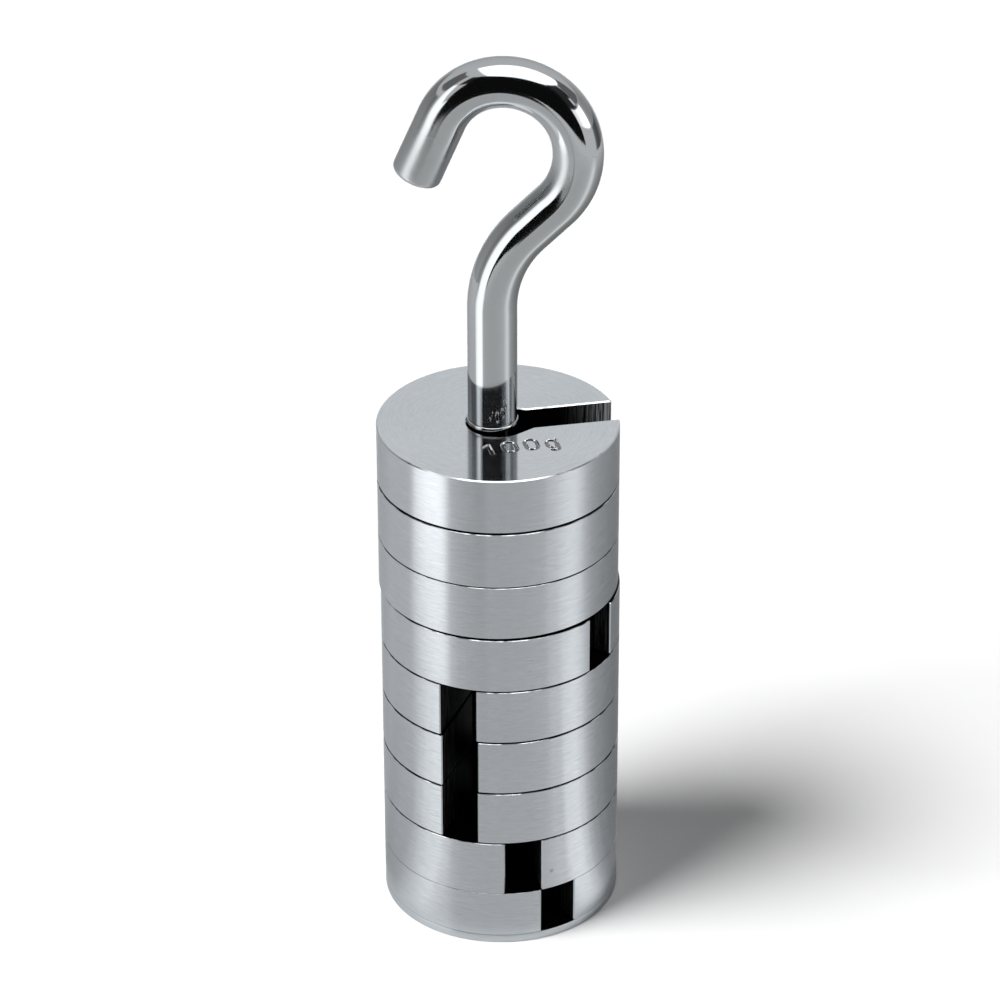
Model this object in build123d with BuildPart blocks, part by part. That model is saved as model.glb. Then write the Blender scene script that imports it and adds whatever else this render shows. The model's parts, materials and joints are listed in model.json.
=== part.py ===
"""Slotted calibration weights stacked on a hook hanger.

The hanger is one bent bar, thinner where the weights sit, riveted in a flat round foot. Nine
steel weights rest on the foot, each with a hub hole and a slot that lets it slide on to the
stem from the side. Sizes are in millimetres. The origin is the centre of the foot's
underside, +Z is up, and the weights stand around the Z axis.
"""

import os
from math import acos, cos, radians, sin, sqrt

from build123d import *

os.makedirs("parts", exist_ok=True)

# ---- Weights -----------------------------------------------------------------------------
weight_diameter = 42.2
weight_thickness = 10.58  # each weight above the lowest one
lowest_thickness = 8.95  # the lowest weight is thinner, by the foot under it
edge_bevel = 0.2  # broken edges
upper_count = 3  # this many top weights sit a little to one side, in the play of their hubs
upper_shift = -0.3  # along X

# Direction of each slot, in degrees from +X towards +Y, from the top weight down.
slot_angles = [11.0, 152.0, 118.0, -33.0, -111.0, -110.2, -110.5, -79.0, -60.8]

# ---- Hanger ------------------------------------------------------------------------------
foot_thickness = 1.6
rod_diameter = 8.6  # the full bar, above the weights
stem_diameter = 6.0  # the thin length of the bar, which the weights are threaded on
rod_offset = -1.25  # the bar stands this far along X from the weights' axis
spigot_diameter = 4.0  # the end of the stem, in the foot
spigot_recess = 0.1  # the spigot ends this far above the foot's underside
collar_overhang = 0.2  # the collar at the bar's shoulder stands this far proud of the bar
collar_height = 0.9
collar_bevel = 0.2
neck_depth = 0.15  # fine groove between the collar and the bar
neck_height = 0.25

# ---- Clearances --------------------------------------------------------------------------
slot_clearance = 0.3  # each side of the stem, in a slot
hub_clearance = 1.2  # round the full bar, in a hub hole, so that a weight lifts past the bar
lead_in_length = 1.2  # the slot's walls flare into the hub hole over this length
collar_clearance = 0.1  # between the top weight and the collar
spigot_clearance = 0.02  # round the spigot, in the foot

# ---- Hook, bent in one upright plane -------------------------------------------------------
hook_turn = -8.0  # direction of the hook's plane, in degrees from +X towards +Y
straight_length = 22.2  # of the bar, above the top weight
sway_radius = 22.0  # first bend, away from the axis
sway_angle = 43.5
sway_run = 6.9
shoulder_radius = 13.95  # the loop starts on a wider bend and closes on a tighter one
shoulder_angle = 59.8
loop_radius = 11.92
loop_angle = 140.8
tip_run = 11.86
tip_bevel = 0.6

# ---- Worked out ----------------------------------------------------------------------------
weight_radius = weight_diameter / 2
rod_radius = rod_diameter / 2
stem_radius = stem_diameter / 2
spigot_radius = spigot_diameter / 2
hub_radius = rod_radius + hub_clearance
half_slot = stem_radius + slot_clearance
weight_count = len(slot_angles)
lowest_top = foot_thickness + lowest_thickness
stack_top = lowest_top + (weight_count - 1) * weight_thickness
collar_radius = rod_radius + collar_overhang
collar_bottom = stack_top + collar_clearance
neck_bottom = collar_bottom + collar_height
neck_top = neck_bottom + neck_height
hook_start = stack_top + straight_length

# The flare's sides touch the hub circle and end where the slot's walls turn parallel.
wall_start = sqrt(hub_radius**2 - half_slot**2) + lead_in_length
wall_corner = sqrt(wall_start**2 + half_slot**2)
touch_angle = acos(wall_start / wall_corner) + acos(hub_radius / wall_corner)
touch_x, touch_y = hub_radius * cos(touch_angle), hub_radius * sin(touch_angle)


def make_weight(name, bottom, thickness, centre_x, slot_angle):
    """One slotted weight: a turned disc with its hub hole, flare and slot, edges broken."""
    seat = Plane((centre_x, 0, bottom)).rotated((0, 0, slot_angle))
    with BuildPart() as weight:
        with BuildSketch(seat):
            Circle(weight_radius)
            Circle(hub_radius, mode=Mode.SUBTRACT)
            with BuildLine():
                Polyline(
                    (touch_x, touch_y),
                    (wall_start, half_slot),
                    (weight_diameter, half_slot),
                    (weight_diameter, -half_slot),
                    (wall_start, -half_slot),
                    (touch_x, -touch_y),
                    close=True,
                )
            make_face(mode=Mode.SUBTRACT)
        extrude(amount=thickness)
        mouth = weight.edges().filter_by(Axis.Z).sort_by(seat.location.x_axis)[-2:]
        # The rim and the slot's two walls are the three longest edges of the top but for the hub's.
        top = weight.faces().sort_by(Axis.Z)[-1].edges()
        rim = top.filter_by(GeomType.CIRCLE).sort_by(SortBy.RADIUS)[-1]
        walls = top.filter_by(GeomType.LINE).sort_by(SortBy.LENGTH)[-2:]
        chamfer([rim, *walls, *mouth], edge_bevel)
    weight.part.label = name
    export_step(weight.part, f"parts/{name}.step")


# The weights, from the top of the stack down to the foot.
level = stack_top
for index, slot_angle in enumerate(slot_angles):
    lowest = index == weight_count - 1
    thickness = lowest_thickness if lowest else weight_thickness
    level -= thickness
    centre_x = upper_shift if index < upper_count else 0.0
    make_weight(f"slotted_weight_{index + 1}", level, thickness, centre_x, slot_angle)


# The foot: a flat round plate with the hole for the stem's spigot.
with BuildPart() as foot_plate:
    with BuildSketch():
        Circle(weight_radius)
        with Locations((rod_offset, 0)):
            Circle(spigot_radius + spigot_clearance, mode=Mode.SUBTRACT)
    extrude(amount=foot_thickness)
    rim = foot_plate.edges().filter_by(GeomType.CIRCLE).sort_by(SortBy.RADIUS)[-2:].sort_by(Axis.Z)
    chamfer(rim[0], edge_bevel)
foot_plate.part.label = "foot_plate"
export_step(foot_plate.part, "parts/foot_plate.step")


# The bar: spigot, stem, collar and the straight length are turned, then the top is bent round.
turned_plane = Plane((rod_offset, 0, 0), x_dir=(1, 0, 0), z_dir=(0, -1, 0))
turn = radians(hook_turn)
hook_plane = Plane((rod_offset, 0, 0), x_dir=(cos(turn), sin(turn), 0), z_dir=(sin(turn), -cos(turn), 0))
with BuildPart() as hook_rod:
    with BuildSketch(turned_plane):
        with BuildLine():
            Polyline(
                (0, spigot_recess),
                (spigot_radius, spigot_recess),
                (spigot_radius, foot_thickness),
                (stem_radius, foot_thickness),
                (stem_radius, collar_bottom),
                (collar_radius, collar_bottom),
                (collar_radius, neck_bottom),
                (rod_radius - neck_depth, neck_bottom),
                (rod_radius - neck_depth, neck_top),
                (rod_radius, neck_top),
                (rod_radius, hook_start),
                (0, hook_start),
                close=True,
            )
        make_face()
    revolve(axis=Axis((rod_offset, 0, 0), (0, 0, 1)))
    collar_edges = hook_rod.edges().filter_by(GeomType.CIRCLE).sort_by(SortBy.RADIUS)[-2:]
    chamfer(collar_edges, collar_bevel)
    with BuildLine(hook_plane) as bend:
        sway = JernArc((0, hook_start), (0, 1), sway_radius, -sway_angle)
        run = Line(sway @ 1, sway @ 1 + (sway % 1) * sway_run)
        shoulder = JernArc(run @ 1, run % 1, shoulder_radius, shoulder_angle)
        loop = JernArc(shoulder @ 1, shoulder % 1, loop_radius, loop_angle)
        tip = Line(loop @ 1, loop @ 1 + (loop % 1) * tip_run)
    with BuildSketch(Plane((rod_offset, 0, hook_start))):
        Circle(rod_radius)
    sweep(path=bend.wire())
    tip_edge = hook_rod.edges().filter_by(GeomType.CIRCLE).sort_by_distance(tip @ 1)[0]
    chamfer(tip_edge, tip_bevel)
hook_rod.part.label = "hook_rod"
export_step(hook_rod.part, "parts/hook_rod.step")
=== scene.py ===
"""Slotted calibration weights on a hook hanger: the finished pieces, the studio and the camera.

Lengths are in metres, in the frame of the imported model: +Z is up, the foot's underside is at
zero, and the weights stand around the Z axis.
"""

import json

import bpy
import numpy as np
from mathutils import Matrix, Vector
from mathutils.geometry import delaunay_2d_cdt


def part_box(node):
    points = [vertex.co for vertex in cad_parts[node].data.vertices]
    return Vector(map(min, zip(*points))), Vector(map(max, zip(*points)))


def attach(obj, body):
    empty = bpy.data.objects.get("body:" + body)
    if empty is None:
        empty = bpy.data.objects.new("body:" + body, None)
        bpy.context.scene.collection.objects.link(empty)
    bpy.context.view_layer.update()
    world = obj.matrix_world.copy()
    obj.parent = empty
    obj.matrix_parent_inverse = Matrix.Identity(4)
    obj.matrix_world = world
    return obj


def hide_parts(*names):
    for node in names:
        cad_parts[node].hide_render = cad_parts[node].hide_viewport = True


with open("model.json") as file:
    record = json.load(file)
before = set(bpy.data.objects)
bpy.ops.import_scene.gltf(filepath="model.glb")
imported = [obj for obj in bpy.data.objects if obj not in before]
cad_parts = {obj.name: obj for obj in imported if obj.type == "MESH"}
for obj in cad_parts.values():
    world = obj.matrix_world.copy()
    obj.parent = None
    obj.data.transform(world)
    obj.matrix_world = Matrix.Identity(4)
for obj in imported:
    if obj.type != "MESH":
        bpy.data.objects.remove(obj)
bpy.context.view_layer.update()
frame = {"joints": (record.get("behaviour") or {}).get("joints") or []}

# ---- Foot plate ----------------------------------------------------------------------------
# The foot is a thin flat disc of turned steel that carries the whole stack. It is drilled for
# the spigot of the bar, which is riveted in it, and its rim is broken by hand.

mm = 0.001
bar_x = -1.25 * mm
spigot_radius = 2.0 * mm
spigot_clearance = 0.02 * mm
foot_bevel = 0.2 * mm
foot_fine_bevel = 0.02 * mm
sharp_angle = np.radians(24.0)
foot_low, foot_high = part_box("foot_plate")
disc_radius = (foot_high[0] - foot_low[0]) / 2
around = 720


def lofted(name, rows, closed=False, lid=None):
    """A mesh through closed loops, given as an array (rows, points, 3), each loop turning left
    about the way that the rows advance. The last loop joins the first, or both ends are faced.
    A lid takes the place of the last face: more points, and faces that count from the last loop."""
    count, points = rows.shape[:2]
    first = np.arange(count if closed else count - 1)[:, None] * points
    second = (first + points) % (count * points)
    here = np.arange(points)[None, :]
    after = (here + 1) % points
    quads = np.stack([first + here, first + after, second + after, second + here], axis=-1)
    faces = quads.reshape(-1, 4).tolist()
    if not closed:
        faces.append(list(range(points))[::-1])
    places = rows.reshape(-1, 3)
    if lid is not None:
        places = np.concatenate([places, lid[0]])
        faces.extend((lid[1] + (count - 1) * points).tolist())
    elif not closed:
        faces.append(list(range((count - 1) * points, count * points)))
    mesh = bpy.data.meshes.new(name)
    mesh.from_pydata(places.tolist(), [], faces)
    mesh.shade_smooth()
    mesh.set_sharp_from_angle(angle=sharp_angle)
    piece = bpy.data.objects.new(name, mesh)
    bpy.context.scene.collection.objects.link(piece)
    return piece


def turned(profile, centre_x, angles):
    """Loops of a turned form: each profile point (radius, height) goes round an upright axis
    through centre_x, as (centre_x + radius cos a, radius sin a, height)."""
    radius, height = np.asarray(profile, float).T
    x = centre_x + radius[:, None] * np.cos(angles)
    y = radius[:, None] * np.sin(angles)
    z = np.broadcast_to(height[:, None], x.shape)
    return np.stack([x, y, z], axis=-1)


def rounded(inner, outer, steps):
    """A broken edge as a quarter round between two profile points, of which the first is inset
    in radius and the second in height: the arc is cos and sin of an angle from 0 to 90."""
    a = np.linspace(0, np.pi / 2, steps)
    r = inner[0] + (outer[0] - inner[0]) * np.sin(a)
    z = outer[1] + (inner[1] - outer[1]) * np.cos(a)
    return list(zip(r, z))


turn_angles = np.arange(around) * 2 * np.pi / around
hole = spigot_radius + spigot_clearance
foot_top = foot_high[2]
rim_low = rounded((disc_radius - foot_bevel, 0.0), (disc_radius, foot_bevel), 4)
rim_high = rounded(
    (disc_radius - foot_fine_bevel, foot_top), (disc_radius, foot_top - foot_fine_bevel), 3
)
foot_rows = turned(rim_low + rim_high[::-1], 0.0, turn_angles)
hole_rows = turned([(hole, foot_top), (hole, 0.0)], bar_x, turn_angles)
foot_plate = lofted("foot_plate_turned", np.concatenate([foot_rows, hole_rows]), closed=True)


class Wire:
    """A shader socket, on which sums work: each one adds a Math node to the finish."""

    def __init__(self, finish, socket):
        self.finish, self.socket = finish, socket

    def _math(self, operation, *values):
        return self.finish.add("ShaderNodeMath", {"operation": operation}, *values)

    def __add__(self, other):
        return self._math("ADD", self, other)

    def __sub__(self, other):
        return self._math("SUBTRACT", self, other)

    def __rsub__(self, other):
        return self._math("SUBTRACT", other, self)

    def __mul__(self, other):
        return self._math("MULTIPLY", self, other)

    def __truediv__(self, other):
        return self._math("DIVIDE", self, other)

    def __pow__(self, other):
        return self._math("POWER", self, other)

    __radd__, __rmul__ = __add__, __mul__


class Finish:
    """The nodes of a material, or of the world."""

    def __init__(self, name, owner=None):
        self.owner = owner or bpy.data.materials.new(name)
        self.owner.use_nodes = True
        self.tree = self.owner.node_tree
        self.tree.nodes.clear()

    def add(self, kind, settings=None, *places, output=0, sockets=None, **named):
        """A new node: its settings are set first, and then its sockets take values or wires, by
        place, by number or by name. It gives back a wire from its first output, or the one
        that output says."""
        node = self.tree.nodes.new(kind)
        for key, value in (settings or {}).items():
            setattr(node, key, value)
        inputs = {**dict(enumerate(places)), **(sockets or {})}
        inputs.update({key.replace("_", " "): value for key, value in named.items()})
        for key, value in inputs.items():
            if isinstance(value, Wire):
                self.tree.links.new(value.socket, node.inputs[key])
            else:
                node.inputs[key].default_value = value
        return Wire(self, node.outputs[output])

    def outputs(self, kind, *places):
        """Wires from all outputs of a new node, by name."""
        node = self.add(kind, None, *places).socket.node
        return {socket.name: Wire(self, socket) for socket in node.outputs}

    def split(self, vector):
        """The three parts of a vector."""
        return self.outputs("ShaderNodeSeparateXYZ", vector).values()

    def noise(self, place, scale, detail):
        return self.add("ShaderNodeTexNoise", output="Fac", Vector=place, Scale=scale, Detail=detail)

    def ramp(self, value, start, end, low=0.0, high=1.0):
        """A smooth step from low, where the value is start, to high, where it is end."""
        smooth = {"interpolation_type": "SMOOTHSTEP"}
        return self.add("ShaderNodeMapRange", smooth, value, start, end, low, high)

    def blend(self, share, low, high):
        """A colour between low and high, by share."""
        ends = {0: share, 6: low, 7: high}
        return self.add("ShaderNodeMix", {"data_type": "RGBA"}, output=2, sockets=ends)

    def bump(self, height, strength, distance):
        return self.add(
            "ShaderNodeBump", output="Normal", Strength=strength, Distance=distance, Height=height
        )

    def done(self, surface, kind="ShaderNodeOutputMaterial"):
        output = self.tree.nodes.new(kind)
        self.tree.links.new(surface.socket, output.inputs["Surface"])
        return self.owner

    def metal(self, **sockets):
        """The finished material, bare metal with these sockets on its Principled shader."""
        return self.done(self.add("ShaderNodeBsdfPrincipled", Metallic=1.0, **sockets))


# Bright steel and chrome reflect this much less at a glancing angle.
glancing_tint = (0.6, 0.61, 0.62, 1)


def turned_steel(name, centre_x, dullness=0.19, swing=0.2, light=1.0, dark_spot=None):
    """Steel off the lathe: fine grooves round the axis, which draw the light out across them.
    The pattern runs slowly round the turn and fast along the radius or the height. The light factor
    scales the colours, as painted light where a face is to look lighter, and a small dark spot can be
    painted round a given place."""
    finish = Finish(name)
    place = finish.add("ShaderNodeTexCoord", output="Object")
    x, y, z = finish.split(place)
    x = x - centre_x
    radius = (x * x + y * y) ** 0.5
    run = radius + z
    turn_x, turn_y = x / (radius + 1e-6), y / (radius + 1e-6)

    def grooves(stretch, pitch, detail):
        """Noise drawn out round the axis: stretch is its pace round the turn, pitch its size
        across the grooves."""
        across = run / pitch
        at = finish.add("ShaderNodeCombineXYZ", None, turn_x * stretch, turn_y * stretch, across)
        return finish.noise(at, 1.0, detail)

    fine = grooves(10.0, 0.1 * mm, 2.0)
    coarse = grooves(4.0, 0.4 * mm, 1.0)
    cloud = finish.noise(place, 60.0, 2.0)
    grain = fine * 0.62 + coarse * 0.18 + cloud * 0.2
    clamped = {"operation": "ADD", "use_clamp": True}
    tone = finish.add("ShaderNodeMath", clamped, (grain - 0.5) * 1.4, 0.5)
    low, high = np.array([(0.35, 0.375, 0.395), (0.55, 0.575, 0.6)]) * light
    color = finish.blend(tone, (*low, 1), (*high, 1))
    # A small dark spot is painted round the given place.
    if dark_spot:
        gap = finish.add(
            "ShaderNodeVectorMath", {"operation": "DISTANCE"}, place, dark_spot, output="Value"
        )
        spot = finish.ramp(gap, 0.65 * mm, 0.1 * mm, 0.0, 0.45)
        color = finish.blend(spot, color, (0.12, 0.12, 0.12, 1))
    return finish.metal(
        Base_Color=color,
        Roughness=dullness + tone * 0.08,
        Anisotropic=1.0,
        Anisotropic_Rotation=0.25,
        Specular_Tint=glancing_tint,
        Normal=finish.bump(fine, swing, 0.01 * mm),
    )


def dull_steel(name, color, roughness):
    """Dull steel of a given colour. A dark colour is painted shade, as on the faces that are shut in
    between the pieces and at the grooves' bottoms.
    """
    return Finish(name).metal(Base_Color=color, Roughness=roughness)


steel = turned_steel("turned_steel", 0.0)
# Near black steel: painted shade on the faces shut in between the pieces, where they show as the
# slots' dark floors and the seams' dark lines.
painted_shade_steel = dull_steel("dull_steel", (0.012, 0.012, 0.013, 1), 0.3)
foot_plate.data.materials.append(steel)
foot_plate.data.materials.append(painted_shade_steel)
# The upper face, shut in under the lowest weight, is the strip from the rim to the hole, and it takes
# the near black painted shade.
strips = np.repeat(np.arange(len(foot_rows) + len(hole_rows)), around)
upper_face = strips == len(foot_rows) - 1
foot_plate.data.polygons.foreach_set("material_index", upper_face.astype(np.int32))
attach(foot_plate, "hanger")
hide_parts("foot_plate")

# ---- Hook bar ------------------------------------------------------------------------------
# One round bar carries everything. Its lower length is turned down to a stem that the weights'
# slots can pass, with a spigot in the foot and a collar at the shoulder. The top is bent to an
# open hook, and the whole bar is polished and chromed.

stack_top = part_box("slotted_weight_1")[1][2]
rod_radius = 4.3 * mm
stem_radius = 3.0 * mm
spigot_recess = 0.1 * mm
collar_radius = 4.5 * mm
collar_clearance = 0.1 * mm
collar_height = 0.9 * mm
collar_round = 0.3 * mm
neck_radius = 4.15 * mm
neck_height = 0.25 * mm
hook_start = stack_top + 22.2 * mm
hook_turn = np.radians(-8.0)
tip_round = 1.0 * mm
# Each stretch of the bend: its angle in degrees, or its length where it is straight, and its
# radius, which is positive for a bend to the left and 0 for a straight.
bends = [
    (43.5, -22.0 * mm),
    (6.9 * mm, 0),
    (59.8, 13.95 * mm),
    (140.8, 11.92 * mm),
    (11.86 * mm, 0),
]
bar_around = 96
lip_steps, tip_steps, straight_steps = 6, 8, 6


def bent_path(start_height, stretches):
    """Points and headings along a bar that starts upright: on a bend of signed radius r the
    centre lies r to the left, and the point is the centre less r times the left-hand normal."""
    along, up, heading = [0.0], [start_height], [np.pi / 2]
    for size, radius in stretches:
        here = np.array([along[-1], up[-1]])
        if radius:
            turn = np.radians(size) * np.sign(radius)
            headings = heading[-1] + turn * np.linspace(0, 1, int(size) + 2)[1:]
            left = np.array([-np.sin(heading[-1]), np.cos(heading[-1])])
            centre = here + radius * left
            places = centre[:, None] - radius * np.array([-np.sin(headings), np.cos(headings)])
        else:
            steps = np.linspace(0, size, straight_steps)[1:]
            headings = np.full(len(steps), heading[-1])
            places = here[:, None] + steps * np.array([[np.cos(heading[-1])], [np.sin(heading[-1])]])
        along.extend(places[0])
        up.extend(places[1])
        heading.extend(headings)
    return np.array(along), np.array(up), np.array(heading)


collar_low = stack_top + collar_clearance
collar_high = collar_low + collar_height
neck_high = collar_high + neck_height
lip = np.linspace(0, np.pi / 2, lip_steps)
lip_in = collar_radius - collar_round
lip_low, lip_high = collar_low + collar_round, collar_high - collar_round
bar_profile = [(spigot_radius, spigot_recess), (spigot_radius, foot_top), (stem_radius, foot_top)]
bar_profile += [(stem_radius, collar_low)]
bar_profile += [(lip_in + collar_round * np.sin(a), lip_low - collar_round * np.cos(a)) for a in lip]
bar_profile += [(lip_in + collar_round * np.cos(a), lip_high + collar_round * np.sin(a)) for a in lip]
bar_profile += [(neck_radius, collar_high), (neck_radius, neck_high), (rod_radius, neck_high)]
bar_angles = np.arange(bar_around) * 2 * np.pi / bar_around
straight_rows = turned(bar_profile, bar_x, bar_angles)

along, up, heading = bent_path(hook_start, bends)
# The tip's edge is a quarter round: the loops close in while they pass along the last stretch.
tip_turn = np.linspace(0, np.pi / 2, tip_steps)[1:]
tip_reach = -tip_round * (1 - np.sin(tip_turn))
tip_radii = rod_radius - tip_round * (1 - np.cos(tip_turn))
reach = np.concatenate([np.zeros(len(along) - 1), [-tip_round], tip_reach])
radii = np.concatenate([np.full(len(along), rod_radius), tip_radii])
along, up, heading = (np.append(v, np.full(len(tip_turn), v[-1])) for v in (along, up, heading))
along, up = along + reach * np.cos(heading), up + reach * np.sin(heading)
plane_x = np.array([np.cos(hook_turn), np.sin(hook_turn), 0.0])
plane_out = np.array([np.sin(hook_turn), -np.cos(hook_turn), 0.0])
upright = np.array([0.0, 0.0, 1.0])
centres = np.array([bar_x, 0, 0]) + along[:, None] * plane_x + up[:, None] * upright
forward = np.cos(heading)[:, None] * plane_x + np.sin(heading)[:, None] * upright
# The loops start where the turned loops do, so that the columns run straight up the bar.
side = np.cross(forward, plane_out)
start_angles = bar_angles - hook_turn
ring = np.cos(start_angles)[:, None] * side[:, None, :] - np.sin(start_angles)[:, None] * plane_out
bent_rows = centres[:, None, :] + radii[:, None, None] * ring
hook_bar = lofted("hook_bar", np.concatenate([straight_rows, bent_rows]))


def polished_chrome(name):
    """Mirror chrome over steel, with a slow swell from hand polishing. The hook's end, where it
    has been handled and hung most, is rubbed to a satin."""
    finish = Finish(name)
    place = finish.add("ShaderNodeTexCoord", output="Object")
    x, y, z = finish.split(place)
    swell = finish.noise(place, 55.0, 1.0)
    wipe = finish.noise(place, 900.0, 3.0)
    # The leg is the hook's free end, and the seat is the inside of the loop.
    leg = finish.ramp(x, -5 * mm, -11 * mm) * finish.ramp(z, 162 * mm, 145 * mm)
    seat_width = finish.ramp(x, 12.4 * mm, 11.2 * mm) * finish.ramp(x, 7 * mm, 8.5 * mm)
    seat = seat_width * finish.ramp(z, 140 * mm, 144 * mm) * finish.ramp(z, 152 * mm, 148 * mm)
    return finish.metal(
        Base_Color=finish.blend(wipe, (0.365, 0.38, 0.39, 1), (0.39, 0.405, 0.415, 1)),
        Roughness=0.06 + wipe * 0.03 + leg**1.5 * 0.3 + seat * 0.25,
        Specular_Tint=glancing_tint,
        Normal=finish.bump(swell, 0.2, 0.05 * mm),
    )


hook_bar.data.materials.append(polished_chrome("polished_chrome"))
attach(hook_bar, "hanger")
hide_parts("hook_rod")

# ---- Weights -------------------------------------------------------------------------------
# Nine discs turned from bright steel bar, each bored and slotted so that it slides on to the
# stem. The slot's walls are milled, they flare into the hub hole, and all edges are broken.

slot_angles = np.radians([11.0, 152.0, 118.0, -33.0, -111.0, -110.2, -110.5, -79.0, -60.8])
half_slot = 3.3 * mm
hub_radius = 5.5 * mm
lead_in_length = 1.2 * mm
edge_bevel = 0.2 * mm
fine_bevel = 0.04 * mm
top_bevels = np.array([0.2, 0.1, 0.06, 0.1, 0.08, 0.08, 0.08, 0.08, 0.03]) * mm
relief_depth = 0.9 * mm
reliefs = np.array([0.46, 0.24, 0.52, 0.30, 0.36, 0.36, 0.28, 0.03, 0.02]) * mm
rim_points, hub_points = 600, 160
# A small dark spot is painted on the side of the eighth weight.
dark_spot_index = 7
dark_spot_place = (9.0 * mm, -19.1 * mm, 14.2 * mm)


def weight_outline(inset):
    """The plan of a weight, inset all round: the rim's arc, down one wall of the slot, its flare,
    round the hub hole, and back out. The flare's sides touch the hub circle."""
    rim, hub, wall = disc_radius - inset, hub_radius + inset, half_slot + inset
    wall_start = np.sqrt(hub_radius**2 - half_slot**2) + lead_in_length
    corner = np.hypot(wall_start, half_slot)
    touch = np.arccos(wall_start / corner) + np.arccos(hub_radius / corner)
    # The flare is the hub circle's tangent at the touch angle: x cos + y sin = hub radius.
    flare_x = (hub - wall * np.sin(touch)) / np.cos(touch)
    mouth = np.arcsin(wall / rim)
    mouth_x = rim * np.cos(mouth)
    rim_start = mouth + edge_bevel / rim
    rim_angles = np.linspace(rim_start, 2 * np.pi - rim_start, rim_points)
    hub_angles = np.linspace(2 * np.pi - touch, touch, hub_points)
    wall_x = np.array([mouth_x - edge_bevel, flare_x])
    x = np.concatenate([rim * np.cos(rim_angles), wall_x, hub * np.cos(hub_angles), wall_x[::-1]])
    y = np.concatenate([rim * np.sin(rim_angles), [-wall] * 2, hub * np.sin(hub_angles), [wall] * 2])
    return x, y


def weight_rows(low, high, relief, top_bevel, centre_x, slot_angle):
    """Loops from the under face to the top face. The under face is relieved along its edge by
    relief in height, which leaves a dark line at the seam, and the top edge is bevelled."""
    insets = [relief_depth, relief_depth, fine_bevel, 0.0, 0.0, top_bevel]
    lip = low + relief
    heights = [low, lip, lip, lip + fine_bevel, high - top_bevel, high]
    rows = []
    for inset, height in zip(insets, heights):
        x, y = weight_outline(inset)
        turned_x = centre_x + x * np.cos(slot_angle) - y * np.sin(slot_angle)
        turned_y = x * np.sin(slot_angle) + y * np.cos(slot_angle)
        rows.append(np.stack([turned_x, turned_y, np.full_like(x, height)], axis=-1))
    return np.array(rows)


def milled_walls(name):
    """Walls of a milled slot: dull steel that the cutter left in upright streaks, and painted shade
    that takes the wall to black away from the slot's mouth.
    """
    finish = Finish(name)
    x, y, z = finish.split(finish.add("ShaderNodeTexCoord", output="Object"))
    at = finish.add("ShaderNodeCombineXYZ", None, x / (0.22 * mm), y / (0.22 * mm), z / (9 * mm))
    streaks = finish.noise(at, 1.0, 2.0)
    radius = (x * x + y * y) ** 0.5
    # Painted shade: the wall fades to black towards the hub, and only its part near the mouth shows
    # the streaks.
    mouth = finish.ramp(radius, 11 * mm, 18 * mm)
    clamped = {"operation": "MULTIPLY", "use_clamp": True}
    tone = finish.add("ShaderNodeMath", clamped, (streaks - 0.42) * 5.0, mouth)
    color = finish.blend(tone, (0.008, 0.008, 0.009, 1), (0.34, 0.35, 0.36, 1))
    return finish.metal(Base_Color=color, Roughness=0.38)


def painted_glint_edge(name, glint_gap_level):
    """An edge broken with a fine stone, coloured brighter than the turned faces on either side as a
    painted glint, which spots painted dark, as painted shade, break into dashes. The level given is
    that of the noise below which the edge is painted dark."""
    finish = Finish(name)
    edge_noise = finish.noise(finish.add("ShaderNodeTexCoord", output="Object"), 330.0, 2.0)
    glint_gaps = finish.add("ShaderNodeMapRange", None, edge_noise, glint_gap_level, glint_gap_level + 0.16)
    return finish.metal(
        Base_Color=finish.blend(glint_gaps, (0.1, 0.105, 0.11, 1), (0.66, 0.68, 0.7, 1)),
        Roughness=0.12 + edge_noise * 0.14,
        Specular_Tint=glancing_tint,
    )


walls = milled_walls("milled_walls")
# The broken edges carry a painted glint, broken into dashes by spots painted dark.
edges = painted_glint_edge("glint_painted_edges", 0.42)
on_steel, on_walls, on_edges, on_painted_shade = range(4)
centres_x = {joint["child"]: joint["pos_m"][0] for joint in frame["joints"]}
steels = {0.0: steel}
for index, slot_angle in enumerate(slot_angles):
    node, body = f"slotted_weight_{index + 1}", f"weight_{index + 1}"
    low, high = (corner[2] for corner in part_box(node))
    centre_x = centres_x[body]
    rows = weight_rows(low, high, reliefs[index], top_bevels[index], centre_x, slot_angle)
    weight = lofted(f"weight_{index + 1}_turned", rows)
    if centre_x not in steels:
        steels[centre_x] = turned_steel("turned_steel_shifted", centre_x)
    bright = steels[centre_x]
    if index == dark_spot_index:
        bright = turned_steel("turned_steel_dark_spot", centre_x, dark_spot=dark_spot_place)
    for finish in (bright, walls, edges, painted_shade_steel):
        weight.data.materials.append(finish)
    # The rim's points come first in each loop, so the faces past them are the slot and the hub,
    # but for the bevels at the slot's mouth. The first two strips are the relief.
    strips = np.full((len(rows) - 1, rows.shape[1]), on_steel)
    strips[:, rim_points - 1 :] = on_walls
    strips[-1] = on_edges
    strips[:, [rim_points - 1, -1]] = on_steel
    # The relief, the under face and, below the top weight, the upper face take the near black painted
    # shade.
    strips[:2] = on_painted_shade
    under_face, upper_face = on_painted_shade, on_painted_shade if index else on_steel
    finishes = np.append(strips, [under_face, upper_face]).astype(np.int32)
    weight.data.polygons.foreach_set("material_index", finishes)
    if index == 0:
        top_weight, top_rows, top_finishes = weight, rows, finishes
    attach(weight, body)
    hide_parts(node)

# ---- Engraving -----------------------------------------------------------------------------
# The nominal mass is cut in the top weight's upper face. A small cutter, run along each stroke, left
# grooves with steep bright walls, a soft shoulder and a dull flat bottom, whose dark colour is
# painted shade.

figure_start = np.array([-1.9, -10.1]) * mm
figure_turn = np.radians(14.3)
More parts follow.
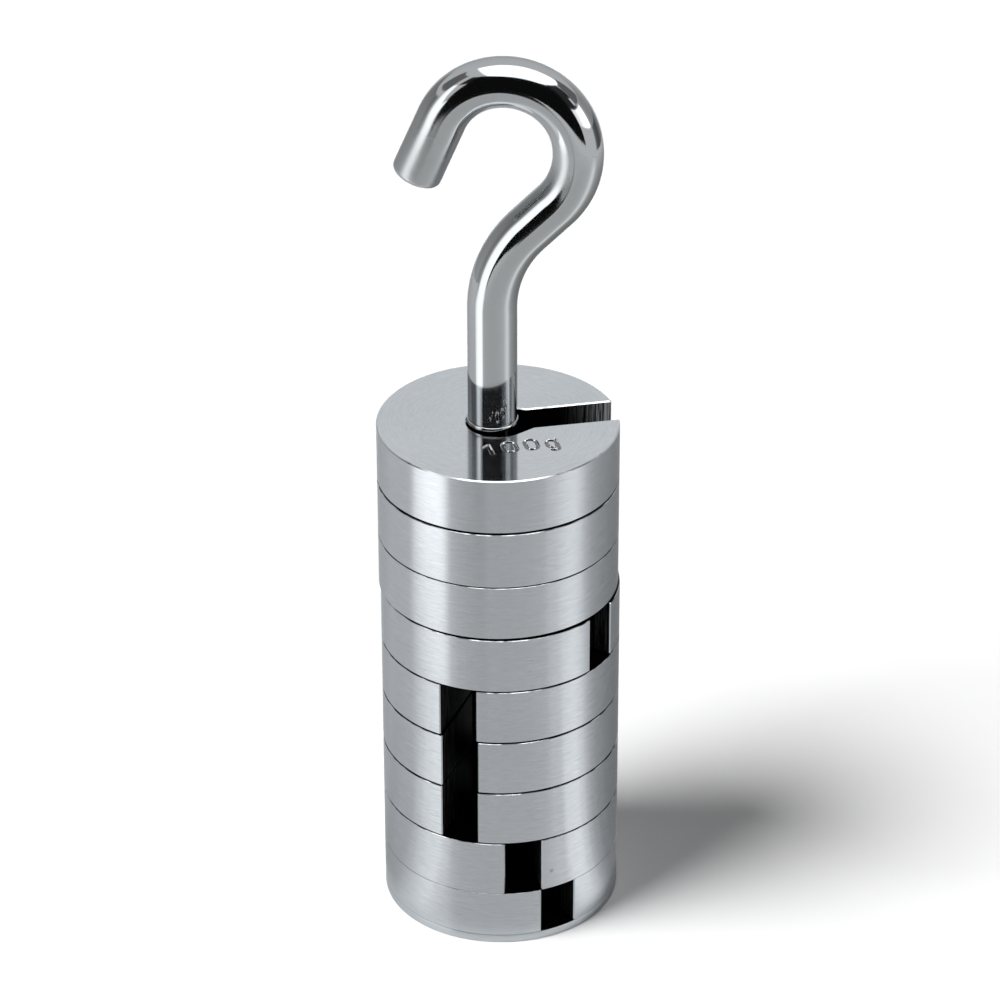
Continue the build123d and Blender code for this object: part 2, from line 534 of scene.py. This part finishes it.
# The groove's section in mm: distances from the stroke's line, and the depths there.
groove_reaches = [0.2, 0.33, 0.43]
groove_falls = [0.24, 0.05, 0.0]
end_points = 13
arc = np.linspace(0, -0.8 * np.pi, 14)
tail = np.stack([0.08 + 0.8 * np.cos(arc), -1.35 + 0.72 * np.sin(arc)], axis=1)
# Each stroke is a centre line in mm about the middle of the first figure, and the radius at
# which the groove runs round it, which is 0 for a groove along the line itself.
strokes = [
    ([(-0.6, 0.85), (0.3, 1.55)], 0.0),
    ([(0.3, -1.55), (0.3, 1.5)], 0.0),
    ([(3.72, -0.65), (3.72, 0.65)], 1.06),
    ([(7.48, -0.65), (7.48, 0.65)], 1.02),
    ([(10.95, -0.95), (10.95, -0.25)], 0.82),
    (np.concatenate([[(11.95, 0.65)], tail + (11.07, -0.75)]), 0.0),
]


def around_line(line, reach):
    """The outline at a distance reach round an open line, turning left: both sides are offset
    along their normals, and half circles close the ends."""
    steps = np.gradient(line, axis=0)
    steps /= np.linalg.norm(steps, axis=1)[:, None]
    normals = np.stack([steps[:, 1], -steps[:, 0]], axis=1)
    ends = []
    for place, step in ((line[-1], steps[-1]), (line[0], -steps[0])):
        half_turn = np.linspace(-np.pi / 2, np.pi / 2, end_points)[1:-1]
        a = np.arctan2(step[1], step[0]) + half_turn
        ends.append(place + reach * np.stack([np.cos(a), np.sin(a)], axis=1))
    return np.concatenate([line + reach * normals, ends[0], (line - reach * normals)[::-1], ends[1]])


def groove_depth(x, y):
    """The depth of a place in mm: the difference between its distance from a stroke's line and
    the stroke's ring is looked up in the groove's section, and the deepest stroke counts."""
    depth = np.zeros_like(x)
    for line, ring in strokes:
        line = np.asarray(line)
        nearest = np.full_like(x, np.inf)
        for (x0, y0), (dx, dy) in zip(line[:-1], np.diff(line, axis=0)):
            along = np.clip(((x - x0) * dx + (y - y0) * dy) / (dx * dx + dy * dy), 0, 1)
            nearest = np.minimum(nearest, np.hypot(x - x0 - along * dx, y - y0 - along * dy))
        depth = np.maximum(depth, np.interp(np.abs(nearest - ring), groove_reaches, groove_falls))
    return depth


# The upper face is cut into triangles along the grooves' edges, in mm about the first figure,
# and then each corner sinks by its share of the depth.
cos_turn, sin_turn = np.cos(figure_turn), np.sin(figure_turn)
x, y = (top_rows[-1][:, :2] - figure_start).T / mm
loops = [np.stack([x * cos_turn + y * sin_turn, y * cos_turn - x * sin_turn], axis=1)]
for line, ring in strokes:
    reaches = [ring + reach for reach in groove_reaches]
    reaches += [ring - reach for reach in groove_reaches if ring]
    loops.extend(around_line(np.asarray(line), reach) for reach in reaches)
corners, borders = [], []
for loop in loops:
    here = len(corners) + np.arange(len(loop))
    borders.extend(zip(here.tolist(), np.roll(here, -1).tolist()))
    corners.extend(Vector(place) for place in loop.tolist())
flat, _, triangles, origins, _, _ = delaunay_2d_cdt(corners, borders, [], 1, 1e-5)
flat = np.array([tuple(place) for place in flat])
depth = groove_depth(*flat.T)
x, y = flat.T * mm
sunk_x = figure_start[0] + x * cos_turn - y * sin_turn
sunk_y = figure_start[1] + x * sin_turn + y * cos_turn
sunk = np.stack([sunk_x, sunk_y, stack_top - depth * mm], axis=1)
# Corners on the weight's own outline keep their places in its last loop, and others are new.
points = top_rows.shape[1]
places = np.array([min([i for i in origin if i < points], default=-1) for origin in origins])
fresh = places < 0
places[fresh] = points + np.arange(fresh.sum())
triangles = np.array(triangles)
engraved = lofted("weight_1_engraved", top_rows, lid=(sunk[fresh], places[triangles]))
in_bottoms, in_walls, on_face, on_top_edge = range(4, 8)
depths = depth[triangles]
at_bottom = depths.min(axis=1) > groove_falls[0] * 0.99
sloping = depths.max(axis=1) > 0.001
lid_finishes = np.where(at_bottom, in_bottoms, np.where(sloping, in_walls, on_face))
for finish in (
    # The grooves' bottoms are coloured dark, as painted shade.
    dull_steel("groove_bottoms", (0.16, 0.165, 0.17, 1), 0.3),
    dull_steel("groove_walls", (0.5, 0.51, 0.52, 1), 0.14),
    # The top weight's upper face is painted lighter than the other turned steel, its colours scaled
    # by 1.14, as painted light.
    turned_steel("turned_face", 0.0, dullness=0.07, swing=0.12, light=1.14),
    # The top weight's upper edge has fewer spots painted dark, so its painted glint runs longer.
    painted_glint_edge("top_edge", 0.2),
):
    top_weight.data.materials.append(finish)
for finish in top_weight.data.materials:
    engraved.data.materials.append(finish)
side_finishes = np.where(top_finishes == on_edges, on_top_edge, top_finishes)[:-1]
finishes = np.concatenate([side_finishes, lid_finishes]).astype(np.int32)
engraved.data.polygons.foreach_set("material_index", finishes)
top_weight.data = engraved.data
bpy.data.objects.remove(engraved)

# ---- Studio --------------------------------------------------------------------------------
# A white floor that runs out of sight, soft boxes either side, and dark cloth round the camera,
# which gives the polished bar its black reflections.


floor_reach = 3.0
floor_corners = [(-1, -1, 0), (1, -1, 0), (1, 1, 0), (-1, 1, 0)]
floor_mesh = bpy.data.meshes.new("floor")
floor_mesh.from_pydata((np.array(floor_corners) * floor_reach).tolist(), [], [(0, 1, 2, 3)])
floor = bpy.data.objects.new("floor", floor_mesh)
bpy.context.scene.collection.objects.link(floor)
paint = Finish("floor")
floor_mesh.materials.append(
    paint.done(paint.add("ShaderNodeBsdfDiffuse", Color=(0.95, 0.95, 0.95, 1)))
)


def screen(name, distance, azimuths, heights, glows):
    """An upright curved screen at a distance from the stack's axis, seen in reflections alone.
    Azimuths are in degrees from the camera's side towards +X. Heights, one row after another
    from the foot up, and glows are given for each azimuth."""
    azimuths, heights = np.asarray(azimuths, float), np.asarray(heights, float)
    turn = np.radians(azimuths)
    heights = np.broadcast_to(heights.reshape(len(heights), -1), (len(heights), len(turn)))
    distance = np.broadcast_to(distance, heights.shape)
    points = np.stack([distance * np.sin(turn), -distance * np.cos(turn), heights], axis=-1)
    rows, columns = len(heights) - 1, len(turn) - 1
    first = (np.arange(rows)[:, None] * len(turn) + np.arange(columns)).ravel()
    quads = np.stack([first, first + 1, first + 1 + len(turn), first + len(turn)], axis=-1)
    mesh = bpy.data.meshes.new(name)
    mesh.from_pydata(points.reshape(-1, 3).tolist(), [], quads.tolist())
    levels = np.broadcast_to(np.asarray(glows, float), heights.shape).ravel()
    mesh.attributes.new("glow", "FLOAT", "POINT").data.foreach_set("value", levels)
    piece = bpy.data.objects.new(name, mesh)
    bpy.context.scene.collection.objects.link(piece)
    finish = Finish(name)
    level = finish.add("ShaderNodeAttribute", {"attribute_name": "glow"}, output="Fac")
    mesh.materials.append(finish.done(finish.add("ShaderNodeEmission", Strength=level)))
    piece.visible_camera = piece.visible_diffuse = piece.visible_shadow = False


# Dark cloth before the set and on both sides of the camera.
screen("dark_cloth", 0.62, np.linspace(-49, 42, 24), [0.0, 0.83], 0.008)
screen("dark_left_wing", 0.62, np.linspace(-62, -49, 6), [0.51, 0.80], 0.03)
wing_heights = np.stack([np.linspace(0.306, 0.42, 12), np.full(12, 0.88)])
screen("dark_right_wing", 0.62, np.linspace(42, 76, 12), wing_heights, 0.04)
# Soft boxes on both sides, which draw the bright bands.
left_azimuths = [-42, -47, -48, -55, -60, -65, -74, -79, -82, -84]
left_tops = [0.17] * 4 + [0.2, 0.255, 0.255, 0.22, 0.2, 0.2]
left_low = [1.0, 2.2, 2.5, 2.6, 2.6, 2.6, 2.3, 1.9, 1.3, 0.8]
left_high = [0.0, 0.0, 2.5, 2.6, 2.6, 2.6, 2.3, 0.8, 0.6, 0.5]
screen(
    "left_box",
    0.165,
    left_azimuths,
    [[0.0] * 10, [0.055] * 10, [0.08] * 10, left_tops],
    [left_low, left_low, left_high, left_high],
)
screen(
    "right_box",
    0.5,
    [43, 50, 58, 66, 74, 80, 84, 87],
    [[0.165] * 8, np.linspace(0.30, 0.37, 8)],
    [1.8, 2.0, 2.6, 4.0, 6.0, 6.0, 3.0, 1.4],
)
screen("right_strip", 0.5, [65, 73], [0.37, 0.46], 1.3)
screen("high_left_wing", 0.62, np.linspace(-115, -76, 8), [0.43, 0.84], 0.25)
screen("high_right_wing", 0.62, np.linspace(77, 115, 8), [0.43, 0.84], 0.25)
# A flat glowing sheet on the floor, which the sides mirror: a painted reflection of the floor,
# brighter in the bands and dimmer to the right, where it is a painted shadow. Its rows are azimuth,
# glow away from the foot and glow close to the foot.
sheet = [
    (-150, 1, 0.95), (-110, 1, 0.8), (-84, 1, 0.8), (-76, 1.15, 0.95), (-68, 1.35, 1.15),
    (-60, 1.4, 1.3), (-52, 1.3, 1.35), (-46, 1, 1.1), (-38, 0.87, 0.9), (-30, 0.83, 0.83),
    (-15, 0.8, 0.8), (0, 0.79, 0.79), (15, 0.8, 0.8), (30, 0.83, 0.85), (45, 0.89, 1),
    (56, 0.98, 1.45), (64, 1.25, 1.5), (72, 1.5, 1.2), (78, 1.45, 0.85), (84, 1.05, 0.65),
    (92, 0.78, 0.5), (105, 0.64, 0.42), (120, 0.56, 0.38), (140, 0.52, 0.4), (168, 0.6, 0.7),
]
sheet_azimuths, sheet_far, sheet_near = np.array(sheet).T
sheet_reaches, sheet_height = [[0.024], [0.25], [0.4]], 0.0006
sheet_glows = [sheet_near, sheet_far, 0.9 + 0.1 * sheet_far]
screen("front_sheet", sheet_reaches, sheet_azimuths, [sheet_height] * 3, sheet_glows)
dark_reach = [0.5, 0.48, 0.5, 0.42, 0.38, 0.31, 0.31, 0.45]
dark_azimuths = [-49, -39, -34, -28, -23, -19, -15, -10]
screen("dark_sheet", [dark_reach, [0.62] * 8], dark_azimuths, [0.001, 0.001], 0.01)
# Grey cards behind the set, for its outer edges.
left_greys = [[0.45, 0.6, 0.72, 0.68, 0.7], [0.3, 0.3, 0.35, 0.35, 0.4]]
screen("grey_left", 0.30, [-85, -95, -105, -125, -150], [0.05, 0.25], left_greys)
right_azimuths = [88, 95, 104, 118, 130, 145]
right_greys = [0.6, 0.25, 0.15, 0.18, 0.45, 0.7]
screen("grey_right", 0.30, right_azimuths, [0.06, 0.155], right_greys)
right_high_greys = [0.9, 0.6, 0.55, 0.55, 0.65, 0.8]
screen("grey_right_high", 0.30, right_azimuths, [0.156, 0.28], right_high_greys)


def studio_lamp(name, kind, metal):
    """A lamp that metal mirrors, or else one that lights the floor alone."""
    light = bpy.data.lights.new(name, kind)
    lamp = bpy.data.objects.new(name, light)
    bpy.context.scene.collection.objects.link(lamp)
    lamp.visible_camera = False
    lamp.visible_glossy = metal
    lamp.visible_diffuse = not metal
    return lamp


key_lamp = studio_lamp("key", "SUN", False)
key_lamp.data.energy = 3.4
key_lamp.data.angle = np.radians(26.0)
key_lamp.rotation_euler = Vector((0.55, 0.24, -1.0)).to_track_quat("-Z", "Y").to_euler()

# The box overhead faces straight down, and its face has the radiance that box_glow says.
box_glow, box_width, box_depth = 2.1, 1.18, 0.83
top_box = studio_lamp("top_box", "AREA", True)
top_box.data.shape = "RECTANGLE"
top_box.data.size, top_box.data.size_y = box_width, box_depth
top_box.data.energy = box_glow * np.pi * box_width * box_depth
top_box.location = (0.16, -0.21, 0.9)
top_box.rotation_euler = Vector((0, 0, -1)).to_track_quat("-Z", "Y").to_euler()

# The world is white to the camera and in reflections, and dim as a light on the floor.
world = bpy.data.worlds.new("studio")
bpy.context.scene.world = world
sky = Finish("studio", world)
rays = sky.outputs("ShaderNodeLightPath")
most = {"operation": "MAXIMUM"}
seen = sky.add("ShaderNodeMath", most, rays["Is Camera Ray"], rays["Is Glossy Ray"])
seen = sky.add("ShaderNodeMath", most, seen, rays["Is Transmission Ray"])
strength = sky.add("ShaderNodeMapRange", None, seen, 0.0, 1.0, 0.16, 1.0)
background = sky.add("ShaderNodeBackground", Color=(1, 1, 1, 1), Strength=strength)
sky.done(background, "ShaderNodeOutputWorld")

# ---- Camera --------------------------------------------------------------------------------
# A long lens that looks down on the set by thirty degrees.

camera_place = (0.0, -0.6805, 0.4724)
camera_tilt, camera_roll = np.radians([59.997, -0.162])
camera_data = bpy.data.cameras.new("camera")
camera_data.lens = 162.0
camera_data.sensor_width = 36.0
camera = bpy.data.objects.new("camera", camera_data)
bpy.context.scene.collection.objects.link(camera)
camera.matrix_world = (
    Matrix.Translation(camera_place)
    @ Matrix.Rotation(camera_tilt, 4, "X")
    @ Matrix.Rotation(camera_roll, 4, "Z")
)
bpy.context.scene.camera = camera
bpy.context.scene.view_settings.view_transform = "Standard"
